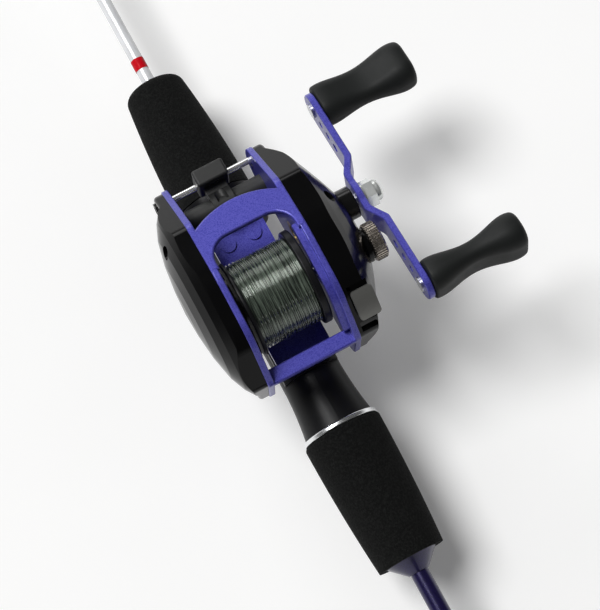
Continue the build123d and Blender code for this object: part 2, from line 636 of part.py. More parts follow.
with BuildPart() as shaft_bush:
    y_cylinder(DRIVE_X, DRIVE_Z, -PLATE_IN, -PLATE_OUT, 4.0)
    y_cylinder(DRIVE_X, DRIVE_Z, -PLATE_IN, -PLATE_OUT, DRIVE_SHAFT_R + 0.03, Mode.SUBTRACT)
save(shaft_bush, "shaft_bush")

with BuildPart() as clutch_housing:
    y_cylinder(DRIVE_X, DRIVE_Z, -27.0, -34.9, 5.25)
    fillet(clutch_housing.faces().sort_by(Axis.Y)[0].edges(), 0.4)
    y_cylinder(DRIVE_X, DRIVE_Z, -27.0, -33.0, 4.2, Mode.SUBTRACT)
    y_cylinder(DRIVE_X, DRIVE_Z, -27.0, -34.9, DRIVE_SHAFT_R + 0.3, Mode.SUBTRACT)
save(clutch_housing, "clutch_housing")

with BuildPart() as roller_clutch:
    y_cylinder(DRIVE_X, DRIVE_Z, -28.0, -33.0, 4.2)
    y_cylinder(DRIVE_X, DRIVE_Z, -28.0, -33.0, DRIVE_SHAFT_R + 0.03, Mode.SUBTRACT)
save(roller_clutch, "roller_clutch")

with BuildPart() as yoke_posts:
    for x, z in YOKE_POSTS:
        y_cylinder(x, z, -PLATE_IN, -26.6, 1.2)
save(yoke_posts, "yoke_posts")

# Gear train: each gear's tooth or gap faces its neighbour

MESH_DEG = degrees(atan2(DRIVE_Z - SPOOL_Z, DRIVE_X))
TRAIN_DEG = degrees(atan2(WORM_Z - DRIVE_Z, WORM_X - DRIVE_X))

with BuildPart() as drive_gear:
    gear(DRIVE_X, DRIVE_Z, DRIVE_GEAR_Y, DRIVE_TEETH, MESH_DEG + 180 + 180 / DRIVE_TEETH, DRIVE_SHAFT_R)
save(drive_gear, "drive_gear")

with BuildPart() as wind_gear:
    gear(DRIVE_X, DRIVE_Z, WIND_GEAR_Y, WIND_TEETH, TRAIN_DEG, DRIVE_SHAFT_R)
save(wind_gear, "wind_gear")

with BuildPart() as idler_gear:
    gear(IDLER_X, IDLER_Z, WIND_GEAR_Y, IDLER_TEETH, TRAIN_DEG + 180 / IDLER_TEETH, 1.55)
save(idler_gear, "idler_gear")

with BuildPart() as worm_gear:
    gear(WORM_X, WORM_Z, WIND_GEAR_Y, WORM_TEETH, TRAIN_DEG + 180, SHAFT_R)
save(worm_gear, "worm_gear")

GROOVE_Y = (-23.1, -24.3)
PINION_END = -25.3

with BuildPart() as pinion:
    gear(0, SPOOL_Z, PINION_Y, PINION_TEETH, MESH_DEG, SHAFT_R + 0.1)
    y_cylinder(0, SPOOL_Z, -14.0, PINION_Y[0], 2.9)
    y_cylinder(0, SPOOL_Z, PINION_Y[1], PINION_END, 2.4)
    y_cylinder(0, SPOOL_Z, PINION_Y[1], GROOVE_Y[0], 3.2)
    y_cylinder(0, SPOOL_Z, GROOVE_Y[1], PINION_END, 3.2)
    y_cylinder(0, SPOOL_Z, -14.0, PINION_END, SHAFT_R + 0.1, Mode.SUBTRACT)
    reel_box((-0.75, 0.75), (-15.35, -13.9), (SPOOL_Z - 4, SPOOL_Z + 4), Mode.SUBTRACT)
save(pinion, "pinion")

with BuildPart() as clutch_yoke:
    reel_box((-4, 5), (GROOVE_Y[1] + 0.1, GROOVE_Y[0] - 0.1), (SPOOL_Z - 8.4, SPOOL_Z + 8.4))
    fillet(clutch_yoke.edges().filter_by(Axis.Y), 1.5)
    reel_box((-5, 0), (-26, -22), (SPOOL_Z - 2.5, SPOOL_Z + 2.5), Mode.SUBTRACT)
    y_cylinder(0, SPOOL_Z, -22, -26, 2.5, Mode.SUBTRACT)
    for x, z in YOKE_POSTS:
        y_cylinder(x, z, -22, -26, 1.25, Mode.SUBTRACT)
save(clutch_yoke, "clutch_yoke")

with BuildPart() as clutch_lever:
    y_cylinder(LEVER_X, LEVER_Z, -21.3, -22.8, 2.6)
    with BuildSketch(side(-21.3)):
        with Locations(Location((LEVER_X, LEVER_Z, 0), (0, 0, LEVER_STEM_DEG))):
            Rectangle(LEVER_PAD[0] + 0.5, 3.6, align=(Align.MIN, Align.CENTER))
    extrude(amount=1.5)
    extrude(sector(-17.4, *LEVER_PAD), amount=7.0)
    fillet(clutch_lever.edges().filter_by(GeomType.LINE).filter_by(
        lambda edge: abs(edge.length - (LEVER_PAD[1] - LEVER_PAD[0])) < 0.01), 1.2)
    y_cylinder(LEVER_X, LEVER_Z, -20, -24, 1.25, Mode.SUBTRACT)
save(clutch_lever, "clutch_lever")

# Level wind

with BuildPart() as guide_bar:
    y_cylinder(BAR_X, BAR_Z, 15.0, -15.0, BAR_R)
save(guide_bar, "guide_bar")

with BuildPart() as worm_tube:
    y_cylinder(WORM_X, WORM_Z, PLATE_IN, -PLATE_IN, TUBE_WIND_R)
    y_cylinder(WORM_X, WORM_Z, PLATE_IN, -PLATE_IN, TUBE_WIND_BORE, Mode.SUBTRACT)
    reel_box((WORM_X, WORM_X + 5), (-10.4, 10.4), (WORM_Z - 1.3, WORM_Z + 1.3), Mode.SUBTRACT)
save(worm_tube, "worm_tube")

with BuildPart() as worm_shaft:
    y_cylinder(WORM_X, WORM_Z, 15.4, -PLATE_OUT, WORM_R)
    y_cylinder(WORM_X, WORM_Z, -PLATE_OUT, -18.3, SHAFT_R)
save(worm_shaft, "worm_shaft")

CARRIAGE_X = (40.8, 46.4)
EYE_Z, EYE_R, EYE_BORE = 27.4, 1.9, 1.2
PAWL_R = 0.9

with BuildPart() as line_carriage:
    reel_box(CARRIAGE_X, (-CARRIAGE_HALF_Y, CARRIAGE_HALF_Y), (18.8, 30.4))
    fillet(line_carriage.edges().filter_by(Axis.Z) + line_carriage.faces().sort_by(Axis.Z)[-1].edges(), 0.8)
    reel_box((WORM_X + 3.8, CARRIAGE_X[0]), (-3.6, 3.6), (19.6, 25.4))
    y_cylinder(WORM_X, WORM_Z, 3.6, -3.6, TUBE_WIND_R + 1.6)
    y_cylinder(WORM_X, WORM_Z, 4, -4, TUBE_WIND_R + 0.05, Mode.SUBTRACT)
    y_cylinder(BAR_X, BAR_Z, 6, -6, BAR_R + 0.04, Mode.SUBTRACT)
    x_low, x_high = REEL_X + WORM_X, REEL_X + CARRIAGE_X[1] + 1
    with Locations(Location(((x_low + x_high) / 2, 0, EYE_Z), (0, 90, 0))):
        Cylinder(EYE_R, x_high - x_low, mode=Mode.SUBTRACT)
    with Locations(Location((REEL_X + 38.5, 0, WORM_Z), (0, 90, 0))):
        Cylinder(PAWL_R, 5, mode=Mode.SUBTRACT)
save(line_carriage, "line_carriage")

with BuildPart() as line_eyelet:
    with Locations(Location((REEL_X + sum(CARRIAGE_X) / 2, 0, EYE_Z), (0, 90, 0))):
        Cylinder(EYE_R, CARRIAGE_X[1] - CARRIAGE_X[0])
        Cylinder(EYE_BORE, CARRIAGE_X[1] - CARRIAGE_X[0], mode=Mode.SUBTRACT)
save(line_eyelet, "line_eyelet")

with BuildPart() as worm_pawl:
    with Locations(Location((REEL_X + WORM_X + WORM_R + 0.3, 0, WORM_Z), (0, 90, 0))):
        Cylinder(PAWL_R, 3.6, align=(Align.CENTER, Align.CENTER, Align.MIN))
save(worm_pawl, "worm_pawl")

# Crank handle

with BuildPart() as drive_shaft:
    y_cylinder(DRIVE_X, DRIVE_Z, -14.0, -42.8, DRIVE_SHAFT_R)
save(drive_shaft, "drive_shaft")

ARM_PLAN = Plane((REEL_X + DRIVE_X, 0, DRIVE_Z), x_dir=arm_side(0).x_dir,
                 z_dir=(sin(radians(HANDLE_TILT)), 0, cos(radians(HANDLE_TILT))))
ARM_END = ARM_REACH + ARM_HALF_WIDTH
STEP_START, STEP_END = 6.5, 12.0
HOLES = [(19.5, 1.5), (24.5, 1.3), (29.2, 1.1)]

with BuildPart() as handle_arm:
    end_in, end_out = ARM_INNER_Y - ARM_STEP, ARM_OUTER_Y - ARM_STEP
    with BuildSketch(ARM_PLAN):
        with BuildLine():
            FilletPolyline((-ARM_END, end_out), (-STEP_END, end_out), (-STEP_START, ARM_OUTER_Y),
                           (STEP_START, ARM_OUTER_Y), (STEP_END, end_out), (ARM_END, end_out),
                           (ARM_END, end_in), (STEP_END + 0.6, end_in), (STEP_START + 0.6, ARM_INNER_Y),
                           (-STEP_START - 0.6, ARM_INNER_Y), (-STEP_END - 0.6, end_in), (-ARM_END, end_in),
                           radius=[0, 2, 4, 4, 2, 0, 0, 4, 2, 2, 4, 0], close=True)
        make_face()
    extrude(amount=10, both=True)
    with BuildSketch(arm_side(-30)):
        SlotCenterToCenter(2 * ARM_REACH, 2 * ARM_HALF_WIDTH)
        Circle(6.4)
    extrude(amount=15, mode=Mode.INTERSECT)
    across = arm_side(0).y_dir
    chamfer([edge for edge in handle_arm.edges() if edge.geom_type != GeomType.LINE
             or abs((edge @ 1 - edge @ 0).normalized().dot(across)) < 0.99], ARM_EDGE)
    with BuildSketch(arm_side(-30)):
        for way in (-1, 1):
            for reach, radius in HOLES + [(ARM_REACH, 1.75)]:
                with Locations((way * reach, 0)):
                    Circle(radius)
        Circle(DRIVE_SHAFT_R)
    extrude(amount=15, mode=Mode.SUBTRACT)
save(handle_arm, "handle_arm")

with BuildPart() as handle_washer:
    y_cylinder(DRIVE_X, DRIVE_Z, ARM_OUTER_Y, ARM_OUTER_Y - 0.6, 4.7)
    y_cylinder(DRIVE_X, DRIVE_Z, ARM_OUTER_Y, ARM_OUTER_Y - 0.6, DRIVE_SHAFT_R, Mode.SUBTRACT)
save(handle_washer, "handle_washer")

NUT_Y = ARM_OUTER_Y - 0.6

with BuildPart() as handle_nut:
    with BuildSketch(side(NUT_Y)):
        with Locations((DRIVE_X, DRIVE_Z)):
            RegularPolygon(4.0, 6, major_radius=False)
    extrude(amount=3.4)
    y_cylinder(DRIVE_X, DRIVE_Z, NUT_Y - 3.4, NUT_Y - 5.6, 3.5)
    fillet(handle_nut.faces().sort_by(Axis.Y)[0].edges(), 1.2)
    y_cylinder(DRIVE_X, DRIVE_Z, NUT_Y, NUT_Y - 4.9, DRIVE_SHAFT_R, Mode.SUBTRACT)
save(handle_nut, "handle_nut")

with BuildPart() as knob_posts:
    for way in (-1, 1):
        with BuildSketch(arm_side(ARM_INNER_Y - ARM_STEP)):
            with Locations((way * ARM_REACH, 0)):
                Circle(1.75)
        extrude(amount=30)
        with BuildSketch(arm_side(ARM_INNER_Y - ARM_STEP + 0.6)):
            with Locations((way * ARM_REACH, 0)):
                Circle(2.5)
        extrude(amount=0.6)
save(knob_posts, "knob_posts")

# Knob sections: Y, broad width, narrow width, corner radius
KNOB_SECTIONS = [(-41.3, 13.5, 10.8, 4.8), (-54.5, 12.6, 7.2, 3.4), (-64.0, 15.0, 9.9, 4.6),
                 (-69.5, 16.4, 12.4, 5.6), (-73.4, 14.8, 10.9, 5.0)]
KNOB_NEAR_EDGE, KNOB_FAR_EDGE = 0.9, 2.0

for name, way, turn in (("front_knob", 1, 0), ("rear_knob", -1, 90)):
    with BuildPart() as knob:
        for y, broad, narrow, corner in KNOB_SECTIONS:
            with BuildSketch(arm_side(y)):
                with Locations(Location((way * ARM_REACH, 0, 0), (0, 0, turn))):
                    RectangleRounded(broad, narrow, corner)
        loft()
        ends = knob.faces().sort_by(Axis.Y)
        fillet(ends[0].edges(), KNOB_FAR_EDGE)
        fillet(ends[-1].edges(), KNOB_NEAR_EDGE)
        with BuildSketch(arm_side(-40)):
            with Locations((way * ARM_REACH, 0)):
                Circle(1.8)
        extrude(amount=30, mode=Mode.SUBTRACT)
    save(knob, name)

TENSION_Y = (-31.65, -36.0)

with BuildPart() as tension_knob:
    y_cylinder(0, SPOOL_Z, *TENSION_Y, 6.2)
    chamfer(tension_knob.edges(), 0.6)
    with BuildSketch(side(TENSION_Y[0])):
        with Locations((0, SPOOL_Z)):
            with PolarLocations(6.25, 40):
                Circle(0.36)
    extrude(amount=6, mode=Mode.SUBTRACT)
    y_cylinder(0, SPOOL_Z, TENSION_Y[0], -34.9, 4.3, Mode.SUBTRACT)
save(tension_knob, "tension_knob")
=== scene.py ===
from math import atan2, cos, radians, sin, tau

import bmesh
import bpy
from mathutils import Matrix, Vector


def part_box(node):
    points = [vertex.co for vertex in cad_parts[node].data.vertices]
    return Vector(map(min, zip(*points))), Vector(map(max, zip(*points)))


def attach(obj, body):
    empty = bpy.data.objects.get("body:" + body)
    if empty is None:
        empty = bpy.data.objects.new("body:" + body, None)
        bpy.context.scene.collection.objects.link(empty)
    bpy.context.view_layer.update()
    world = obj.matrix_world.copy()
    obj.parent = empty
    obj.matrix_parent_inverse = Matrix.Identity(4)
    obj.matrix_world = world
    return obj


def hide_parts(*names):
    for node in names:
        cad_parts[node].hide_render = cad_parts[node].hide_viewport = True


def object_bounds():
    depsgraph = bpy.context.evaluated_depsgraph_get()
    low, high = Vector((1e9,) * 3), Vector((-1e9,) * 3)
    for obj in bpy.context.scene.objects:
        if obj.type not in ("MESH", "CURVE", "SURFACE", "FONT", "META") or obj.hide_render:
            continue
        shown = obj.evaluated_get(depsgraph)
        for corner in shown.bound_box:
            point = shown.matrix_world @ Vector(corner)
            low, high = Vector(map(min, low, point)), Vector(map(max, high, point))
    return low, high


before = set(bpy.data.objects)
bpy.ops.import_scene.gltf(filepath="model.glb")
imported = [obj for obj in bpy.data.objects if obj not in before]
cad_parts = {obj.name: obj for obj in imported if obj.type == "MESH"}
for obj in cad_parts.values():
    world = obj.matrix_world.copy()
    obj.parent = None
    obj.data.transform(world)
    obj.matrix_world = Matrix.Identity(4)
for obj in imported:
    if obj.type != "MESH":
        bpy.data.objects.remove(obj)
cad_low, cad_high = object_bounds()


# Handle tube and winding check
# A slim glass-fibre tube carries the whole handle, and a turned cone dresses its
# entry into the rear grip. Both wear one deep purple lacquer under a clear coat.

LACQUER = (0.014, 0.008, 0.080)
# The deep lacquer colour is random flake tone on the tube and cone, and painted shade in the grooves of
# the guide wraps.
LACQUER_DEEP_AND_GROOVE_SHADE = (0.005, 0.003, 0.038)
LACQUER_FLAKES = 2600
LACQUER_RIPPLES = 350
COAT_ROUGHNESS = 0.06


def surface(name, colour, roughness, metallic=0.0, coat=0.0, shine=0.5):
    """A new material with the finish's even values on its shader's own sockets."""
    material = bpy.data.materials.new(name)
    material.use_nodes = True
    shader = material.node_tree.nodes["Principled BSDF"]
    shader.inputs["Base Color"].default_value = (*colour, 1)
    shader.inputs["Roughness"].default_value = roughness
    shader.inputs["Metallic"].default_value = metallic
    shader.inputs["Coat Weight"].default_value = coat
    shader.inputs["Coat Roughness"].default_value = COAT_ROUGHNESS
    shader.inputs["Specular IOR Level"].default_value = shine
    return material


def texture(material, kind, scale, stretch, detail):
    """The outputs of a texture laid over the piece's own coordinates, in metres."""
    nodes, links = material.node_tree.nodes, material.node_tree.links
    coordinates = nodes.new("ShaderNodeTexCoord")
    mapping = nodes.new("ShaderNodeMapping")
    mapping.inputs["Scale"].default_value = stretch
    pattern = nodes.new(f"ShaderNodeTex{kind}")
    pattern.inputs["Scale"].default_value = scale
    pattern.inputs["Detail"].default_value = detail
    links.new(coordinates.outputs["Object"], mapping.inputs["Vector"])
    links.new(mapping.outputs["Vector"], pattern.inputs["Vector"])
    return pattern.outputs


def noise(material, scale, detail=2):
    """Even grain, about so many grains to the metre."""
    return texture(material, "Noise", scale, (1, 1, 1), detail)["Fac"]


def streak(material, x, y, z, detail=2):
    """Drawn-out grain, with so many grains to the metre along each axis."""
    return texture(material, "Noise", 1, (x, y, z), detail)["Fac"]


def tint(material, source, low, high, start=0.35, end=0.65):
    """Base colour that runs between two colours over a texture's value."""
    nodes, links = material.node_tree.nodes, material.node_tree.links
    ramp = nodes.new("ShaderNodeValToRGB")
    ramp.color_ramp.elements[0].position = start
    ramp.color_ramp.elements[1].position = end
    ramp.color_ramp.elements[0].color = (*low, 1)
    ramp.color_ramp.elements[1].color = (*high, 1)
    links.new(source, ramp.inputs["Fac"])
    links.new(ramp.outputs["Color"], nodes["Principled BSDF"].inputs["Base Color"])
    return ramp.color_ramp


def gloss(material, source, low, high):
    """Roughness that runs between two values over a texture's value."""
    nodes, links = material.node_tree.nodes, material.node_tree.links
    span = nodes.new("ShaderNodeMapRange")
    span.inputs["To Min"].default_value = low
    span.inputs["To Max"].default_value = high
    links.new(source, span.inputs["Value"])
    links.new(span.outputs["Result"], nodes["Principled BSDF"].inputs["Roughness"])


def relief(material, source, depth, strength):
    """Bump of a given depth in metres from a texture's value."""
    nodes, links = material.node_tree.nodes, material.node_tree.links
    bump = nodes.new("ShaderNodeBump")
    bump.inputs["Strength"].default_value = strength
    bump.inputs["Distance"].default_value = depth
    links.new(source, bump.inputs["Height"])
    links.new(bump.outputs["Normal"], nodes["Principled BSDF"].inputs["Normal"])


def dress(material, *names):
    """Puts a material on CAD nodes whose shape stays as it is."""
    for name in names:
        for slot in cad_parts[name].material_slots:
            slot.material = material


lacquer = surface("purple_lacquer", LACQUER, 0.28, metallic=0.35, coat=0.3)
tint(lacquer, noise(lacquer, LACQUER_FLAKES), LACQUER_DEEP_AND_GROOVE_SHADE, LACQUER)
relief(lacquer, noise(lacquer, LACQUER_RIPPLES), depth=0.00003, strength=0.4)
dress(lacquer, "handle_tube", "cone_check")


# Foam grips and butt cap
# The grips are turned from black closed-cell foam, whose cut cells give a fine matte
# grain. The butt cap is moulded rubber pressed over the end.

FOAM = (0.0042, 0.0044, 0.0043)
FOAM_PALE = (0.0130, 0.0135, 0.0130)
FOAM_GRAINS = 1500
FOAM_CELLS = 2400
BUTT_BLACK = (0.008, 0.008, 0.0085)
BUTT_SCUFFS = 240
BUTT_GRAINS = 2200

foam = surface("black_foam", FOAM, 0.88, shine=0.12)
tint(foam, noise(foam, FOAM_GRAINS, detail=4), FOAM, FOAM_PALE, start=0.42, end=0.72)
foam_cells = texture(foam, "Voronoi", FOAM_CELLS, stretch=(1, 1, 1), detail=2)
relief(foam, foam_cells["Distance"], depth=0.00022, strength=0.9)
dress(foam, "butt_grip", "rear_grip", "fore_grip")

butt_rubber = surface("butt_rubber", BUTT_BLACK, 0.62, shine=0.3)
gloss(butt_rubber, noise(butt_rubber, BUTT_SCUFFS, detail=3), 0.52, 0.72)
relief(butt_rubber, noise(butt_rubber, BUTT_GRAINS), depth=0.00005, strength=0.5)
dress(butt_rubber, "butt_cap")


# Trim ring
# A thin aluminium ring between the rear grip and the seat, turned and polished, with
# the lathe's fine rings still on it.

ALUMINIUM = (0.86, 0.87, 0.88)

trim = surface("turned_aluminium", ALUMINIUM, 0.22, metallic=1.0)
turning = streak(trim, 9000, 60, 60, detail=1)
gloss(trim, turning, 0.14, 0.34)
relief(trim, turning, depth=0.00001, strength=0.5)
dress(trim, "trim_ring")


# Reel seat
# The seat barrel, with its trigger and fixed hood, is moulded in black nylon with a
# satin skin. The sliding hood and the lock nut match it, and pale arbors fill the barrel.

SEAT_BLACK = (0.0060, 0.0060, 0.0068)
SEAT_CLOUDS = 900
SEAT_GRAINS = 3200
ARBOR = (0.52, 0.49, 0.42)
ARBOR_DARK = (0.44, 0.41, 0.35)
ARBOR_PALE = (0.58, 0.55, 0.47)
ARBOR_GRAINS = 700

seat = surface("satin_nylon", SEAT_BLACK, 0.38, shine=0.15)
gloss(seat, noise(seat, SEAT_CLOUDS, detail=3), 0.30, 0.46)
relief(seat, noise(seat, SEAT_GRAINS), depth=0.00002, strength=0.35)
dress(seat, "reel_seat", "seat_hood", "lock_nut")

arbor = surface("arbor_foam", ARBOR, 0.85)
tint(arbor, noise(arbor, ARBOR_GRAINS), ARBOR_DARK, ARBOR_PALE)
dress(arbor, "seat_arbors")


# Blank, red band, guides and tip-top
# The blank is tape-rolled glass fibre under white lacquer, with the tape's faint spiral
# showing. Thread under resin binds the guide feet, and the rings are dark ceramic.

BLANK_WHITE = (0.80, 0.81, 0.83)
BLANK_SHADE = (0.74, 0.75, 0.77)
BLANK_CLOUDS = 160
TAPE_PITCH = 0.0042
TAPE_SLANT = 0.25
WAVES_PER_UNIT = 3.2
THREAD_PITCH = 0.00022
RED = (0.62, 0.006, 0.014)
# The red thread's deep and bright colours, and the guide thread's bright colour, are painted shade in the
# grooves and painted highlight on the crests.
RED_GROOVE_SHADE = (0.54, 0.003, 0.010)
RED_CREST_HIGHLIGHT = (0.68, 0.006, 0.016)
THREAD_CREST_HIGHLIGHT = (0.085, 0.040, 0.330)
STAINLESS = (0.64, 0.65, 0.67)
CERAMIC = (0.035, 0.035, 0.038)
CERAMIC_DARK = (0.026, 0.026, 0.028)
CERAMIC_PALE = (0.046, 0.046, 0.050)
CERAMIC_GRAINS = 2600


def ridges(material, pitch, slant=0.0):
    """Ridges along the rod, one to each pitch, leaning by slant."""
    return texture(material, "Wave", 1 / pitch / WAVES_PER_UNIT, stretch=(1, slant, 0), detail=0)["Fac"]


def wrap(material, deep, bright):
    """Turns of thread laid side by side, with painted shade darkening the grooves and a painted highlight
    brightening the crests.
    """
    turns = ridges(material, THREAD_PITCH)
    tint(material, turns, deep, bright)
    relief(material, turns, depth=0.00005, strength=0.5)


blank = surface("white_lacquer", BLANK_WHITE, 0.16, coat=0.6)
tint(blank, noise(blank, BLANK_CLOUDS, detail=3), BLANK_SHADE, BLANK_WHITE)
relief(blank, ridges(blank, TAPE_PITCH, TAPE_SLANT), depth=0.00004, strength=0.35)
dress(blank, "rod_blank")

red_thread = surface("red_thread", RED, 0.30, shine=0.1)
wrap(red_thread, RED_GROOVE_SHADE, RED_CREST_HIGHLIGHT)
dress(red_thread, "red_band")

guide_thread = surface("guide_thread", LACQUER, 0.30, coat=0.8)
wrap(guide_thread, LACQUER_DEEP_AND_GROOVE_SHADE, THREAD_CREST_HIGHLIGHT)
dress(guide_thread, "guide_wraps")

stainless = surface("stainless", STAINLESS, 0.28, metallic=1.0)
gloss(stainless, streak(stainless, 180, 900, 900), 0.20, 0.38)
dress(stainless, "guide_frame_1", "guide_frame_2", "guide_frame_3", "guide_frame_4", "tip_top")

ceramic = surface("dark_ceramic", CERAMIC, 0.12, coat=0.4)
tint(ceramic, noise(ceramic, CERAMIC_GRAINS), CERAMIC_DARK, CERAMIC_PALE)
dress(ceramic, "guide_rings", "tip_ring", "line_eyelet")


# Reel frame and foot
# The frame is one aluminium casting, sprayed in purple with a fine metal flake, and the
# crank arm matches it. The foot is riveted under the frame's floor and anodised black.

PAINT = (0.042, 0.040, 0.320)
PAINT_DEEP = (0.026, 0.022, 0.220)
PAINT_FLAKE = (0.090, 0.088, 0.450)
PAINT_FLAKES = 4200
ANODISED = (0.030, 0.030, 0.033)

paint = surface("purple_flake", PAINT, 0.42, metallic=0.35, coat=0.5, shine=0.2)
flakes = texture(paint, "Voronoi", PAINT_FLAKES, stretch=(1, 1, 1), detail=2)["Color"]
flake_colours = tint(paint, flakes, PAINT_DEEP, PAINT_FLAKE, start=0, end=1)
flake_colours.elements.new(0.5).color = (*PAINT, 1)
relief(paint, flakes, depth=0.00003, strength=0.5)
dress(paint, "reel_frame", "handle_arm", "foot_rivets")

anodised = surface("black_anodising", ANODISED, 0.36, metallic=0.7)
gloss(anodised, streak(anodised, 120, 1200, 1200), 0.28, 0.46)
dress(anodised, "reel_foot")


# Shafts, bearings, posts and cover screws
# These are ground steel, left bright. The screws are driven in from outside and hold the
# covers on the frame, and the shafts and bearings run behind the covers.

STEEL = (0.62, 0.63, 0.65)

steel = surface("ground_steel", STEEL, 0.24, metallic=1.0)
gloss(steel, streak(steel, 700, 5000, 700, detail=1), 0.16, 0.34)
dress(steel, "cover_screws", "spool_shaft", "spool_pin", "worm_shaft", "drive_shaft",
      "knob_posts", "yoke_posts", "left_bearing", "right_bearing", "roller_clutch")


# Covers
# Both side covers are moulded in black with a piano gloss, so they mostly show what
# stands round them, with faint rub marks in the polish.

PIANO_BLACK = (0.0020, 0.0020, 0.0022)
RUB_MARKS = 60
COVER_RIPPLES = 130

cover = surface("piano_black", PIANO_BLACK, 0.14, shine=0.18)
gloss(cover, noise(cover, RUB_MARKS, detail=5), 0.10, 0.20)
relief(cover, noise(cover, COVER_RIPPLES), depth=0.00002, strength=0.12)
dress(cover, "left_cover", "right_cover")


# Spool
# The spool is turned from aluminium and anodised black, with the lathe's rings still on
# its flanges. A cross pin fixes it on its shaft.

SPOOL_BLACK = (0.010, 0.010, 0.011)

spool_black = surface("spool_black", SPOOL_BLACK, 0.34, metallic=0.4, shine=0.3)
gloss(spool_black, streak(spool_black, 40, 6000, 40, detail=1), 0.26, 0.44)
dress(spool_black, "spool")


# Line on the spool
# Clear nylon line fills the spool. The under layers lie close, and the last passes of
# the level wind cross over them with a wider step.

LINE_R = 0.00019
LINE_SIDES = 6
LINE_FLAT = 0.45
TURN_STEPS = 48
CLOSE_R, CLOSE_TURNS = 0.01374, 45
OPEN_R, OPEN_TURNS = 0.01404, 15
BACK_START, LAST_START = 0.30, 0.65
LAST_EXTRA = 2
SLEEVE_R = 0.01366
JOIN = 1e-7
LUMP = 0.00005
LUMPS_ACROSS, LUMPS_ROUND = 900, 3
NYLON = (0.005, 0.008, 0.006)
NYLON_PAINTED_SHEEN = (0.120, 0.150, 0.118)
NYLON_SHEEN = (0.88, 1.0, 0.86, 1)

core_low, core_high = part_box("line_core")
spool_axis = (core_low + core_high) / 2
half_width = (core_high.y - core_low.y) / 2 - LINE_R


def wind(bm, radius, turns, way, start_turn):
    """One pass of line across the spool: a turn swept along a screw, then laid side by side."""
    step = Vector((0, way * 2 * half_width / turns, 0))
    turn = bmesh.new()
    ring = bmesh.ops.create_circle(turn, segments=LINE_SIDES, radius=LINE_R)["verts"]
    bmesh.ops.scale(turn, verts=ring, vec=(LINE_FLAT, 1, 1))
    bmesh.ops.translate(turn, verts=ring, vec=spool_axis + Vector((radius, -way * half_width, 0)))
    bmesh.ops.rotate(turn, verts=ring, cent=spool_axis, matrix=Matrix.Rotation(start_turn * tau, 3, "Y"))
    bmesh.ops.spin(turn, geom=ring + turn.edges[:], cent=spool_axis, axis=(0, 1, 0), angle=tau,
                   steps=TURN_STEPS, dvec=step / TURN_STEPS, use_merge=False)
    turn_mesh = bpy.data.meshes.new("line_turn")
    for lap in range(turns):
        turn.to_mesh(turn_mesh)
        bm.from_mesh(turn_mesh)
        bmesh.ops.translate(turn, verts=turn.verts, vec=step)
    turn.free()
    bpy.data.meshes.remove(turn_mesh)


bm = bmesh.new()
wind(bm, CLOSE_R, CLOSE_TURNS, way=1, start_turn=0)
wind(bm, OPEN_R, OPEN_TURNS, way=-1, start_turn=BACK_START)
wind(bm, OPEN_R, OPEN_TURNS + LAST_EXTRA, way=1, start_turn=LAST_START)
bmesh.ops.remove_doubles(bm, verts=bm.verts, dist=JOIN)
bmesh.ops.holes_fill(bm, edges=bm.edges, sides=LINE_SIDES)
for vert in bm.verts:
    out = vert.co - spool_axis
    out.y = 0
    vert.co += out.normalized() * LUMP * sin(LUMPS_ACROSS * vert.co.y + LUMPS_ROUND * atan2(out.z, out.x))
sleeve = bmesh.ops.create_cone(bm, cap_ends=True, segments=TURN_STEPS, radius1=SLEEVE_R, radius2=SLEEVE_R,
                               depth=core_high.y - core_low.y)["verts"]
bmesh.ops.rotate(bm, verts=sleeve, cent=(0, 0, 0), matrix=Matrix.Rotation(tau / 4, 3, "X"))
bmesh.ops.translate(bm, verts=sleeve, vec=spool_axis)
bmesh.ops.recalc_face_normals(bm, faces=bm.faces)
for face in bm.faces:
    face.smooth = len(face.verts) == 4
line_mesh = bpy.data.meshes.new("spooled_line")
bm.to_mesh(line_mesh)
bm.free()
line = bpy.data.objects.new("spooled_line", line_mesh)
bpy.context.scene.collection.objects.link(line)

nylon = surface("nylon_line", NYLON, 0.17, coat=0.8, shine=1.0)
nylon.node_tree.nodes["Principled BSDF"].inputs["Specular Tint"].default_value = NYLON_SHEEN
# The pale streaks in the line's colour are painted sheen, standing in for the blotchy highlights along
# the wound line.
tint(nylon, streak(nylon, 120, 2600, 120), NYLON, NYLON_PAINTED_SHEEN, start=0.38, end=0.66)
line.data.materials.append(nylon)
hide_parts("line_winding", "line_core")
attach(line, "spool")


# Level wind
# The carriage runs on a bright guide bar and round a slotted black tube that hides the
# worm. Tube and carriage are moulded in black nylon.

WIND_BLACK = (0.0200, 0.0204, 0.0200)
WIND_CLOUDS = 700
WIND_GRAINS = 3600
BRIGHT_BAR = (0.88, 0.88, 0.86)

black_nylon = surface("black_nylon", WIND_BLACK, 0.50, shine=0.4)
gloss(black_nylon, noise(black_nylon, WIND_CLOUDS, detail=3), 0.42, 0.60)
relief(black_nylon, noise(black_nylon, WIND_GRAINS), depth=0.00003, strength=0.4)
dress(black_nylon, "worm_tube", "line_carriage")

bright_bar = surface("bright_bar", BRIGHT_BAR, 0.14, metallic=0.85)
gloss(bright_bar, streak(bright_bar, 900, 9000, 900), 0.09, 0.22)
dress(bright_bar, "guide_bar")


# Gears, bush, pawl and clutch yoke
# The drive pair, bush and pawl are cut brass. The level-wind train and the clutch yoke
# are moulded in pale acetal, and nearly all of it runs inside the right cover.

BRASS = (0.62, 0.45, 0.18)
BRASS_CLOUDS = 1400
ACETAL = (0.76, 0.74, 0.67)
ACETAL_DARK = (0.70, 0.68, 0.61)
ACETAL_PALE = (0.80, 0.78, 0.71)
ACETAL_CLOUDS = 500

